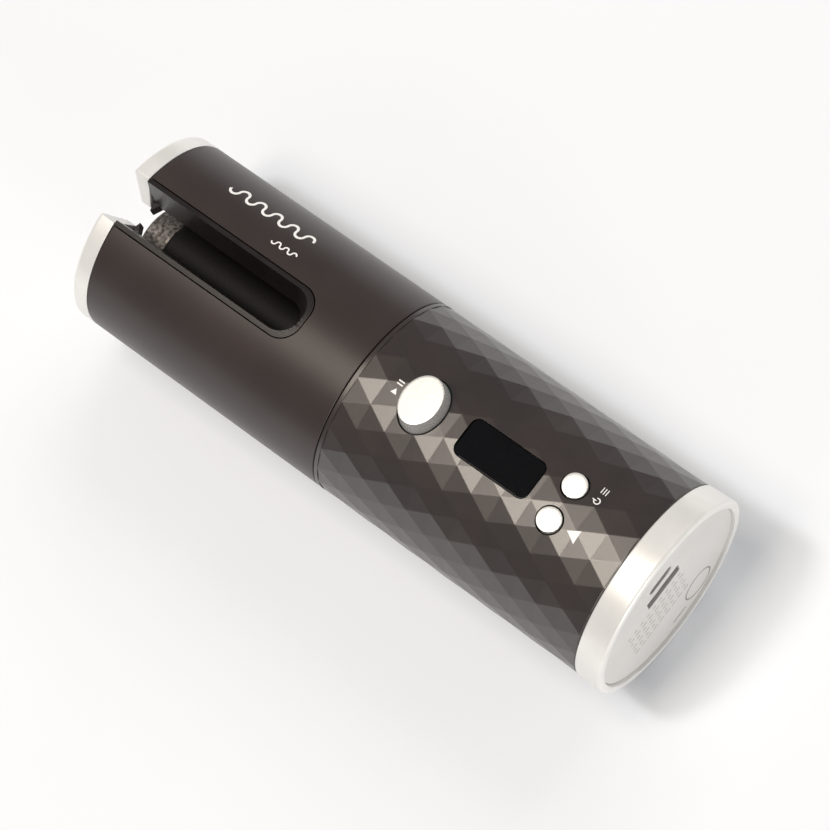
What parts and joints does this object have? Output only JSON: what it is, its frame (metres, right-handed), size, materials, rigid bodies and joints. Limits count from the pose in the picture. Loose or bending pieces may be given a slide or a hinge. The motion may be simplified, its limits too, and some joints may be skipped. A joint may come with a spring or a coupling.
{
  "type": "cordless automatic hair curler",
  "caption": "Cordless automatic curling iron: slotted round shell over a rotating heated barrel, faceted grip with display and buttons, silver end caps.",
  "frame": {"origin": "under the middle of the body, on the surface that it lies on", "axes": "+X from the tip with the hair slot to the base with the charging ports, +Z to the slot and button side, Y across"},
  "size_m": [0.199, 0.0662, 0.0706],
  "materials": {
    "silver": "bead-blasted silver finish",
    "shell": "satin dark warm brown",
    "liner": "heat-resistant satin dark plastic",
    "end_face": "fine satin light grey",
    "window": "polished black lens",
    "display": "display block",
    "button_silver": "silver plated button",
    "plunger": "moulded switch plunger",
    "switch": "moulded switch body",
    "board": "green solder mask",
    "screw": "zinc plated",
    "chassis": "moulded grey plastic",
    "housing": "natural heat-resistant plastic",
    "plate": "stamped plate",
    "motor_can": "drawn can",
    "steel": "ground steel",
    "brass": "machined brass",
    "gear": "natural acetal",
    "bronze": "sintered bronze",
    "barrel": "black ceramic coat on aluminium",
    "barrel_ring": "mottled hot-metal grey",
    "seal": "silicone rubber",
    "heater": "cast heater shell",
    "sensor": "glazed bead",
    "fuse": "fuse body",
    "wire": "wire insulation",
    "wire_blue": "wire insulation",
    "wire_red": "wire insulation",
    "cell": "wrapped cell",
    "cradle": "moulded black plastic",
    "nickel": "nickel strip"
  },
  "bodies": {
    "body": {"top_cap": "silver", "barrel_shell": "shell", "slot_liner": "liner", "grip_shell": "shell", "base_cap": "silver", "end_plate": "end_face", "display_window": "window", "display_module": "display", "tact_switches": "switch", "main_board": "board", "board_screws": "screw", "inner_chassis": "chassis", "gear_housing": "housing", "drive_plate": "plate", "gearbox_screws": "screw", "motor": "motor_can", "motor_screws": "screw", "motor_leads": "wire_blue", "compound_axle": "steel", "chamber_seal": "seal", "spindle": "steel", "heater_core": "heater", "thermistor": "sensor", "thermal_fuse": "fuse", "heater_leads": "wire", "battery_cells": "cell", "battery_cradle": "cradle", "battery_tabs": "nickel", "battery_leads": "wire_red", "port_board": "board", "usb_c_socket": "steel", "usb_a_socket": "steel"},
    "rotating_barrel": {"barrel_tube": "barrel", "barrel_tip": "barrel_ring", "barrel_gear": "gear", "rear_bush": "bronze", "front_bush": "bronze"},
    "compound_gear": {"compound_gear": "gear"},
    "motor_rotor": {"motor_shaft": "steel", "motor_pinion": "brass"},
    "start_button": {"start_button": "button_silver", "start_plunger": "plunger"},
    "power_button": {"power_button": "button_silver", "power_plunger": "plunger"},
    "settings_button": {"settings_button": "button_silver", "settings_plunger": "plunger"}
  },
  "joints": [
    {"name": "barrel_spin", "type": "hinge", "parent": "body", "child": "rotating_barrel", "pos_m": [-0.0495, 0, 0.0331], "axis": [1, 0, 0], "continuous": true},
    {"name": "compound_gear_spin", "type": "hinge", "parent": "body", "child": "compound_gear", "pos_m": [-0.0115, -0.01637, 0.02365], "axis": [1, 0, 0], "continuous": true},
    {"name": "motor_spin", "type": "hinge", "parent": "body", "child": "motor_rotor", "pos_m": [0.0005, -0.00608, 0.01852], "axis": [1, 0, 0], "continuous": true},
    {"name": "start_button_press", "type": "slide", "parent": "body", "child": "start_button", "axis": [0, 0, -1], "range_m": [0, 0.001], "stiffness_N_per_m": 1500, "springref_m": -0.001},
    {"name": "power_button_press", "type": "slide", "parent": "body", "child": "power_button", "axis": [0, 0, -1], "range_m": [0, 0.0006], "stiffness_N_per_m": 1500, "springref_m": -0.001},
    {"name": "settings_button_press", "type": "slide", "parent": "body", "child": "settings_button", "axis": [0, 0, -1], "range_m": [0, 0.0006], "stiffness_N_per_m": 1500, "springref_m": -0.001}
  ],
  "couplings": [
    {"joint": "compound_gear_spin", "follows": "barrel_spin", "ratio": -3.5},
    {"joint": "motor_spin", "follows": "barrel_spin", "ratio": 9.9167}
  ]
}
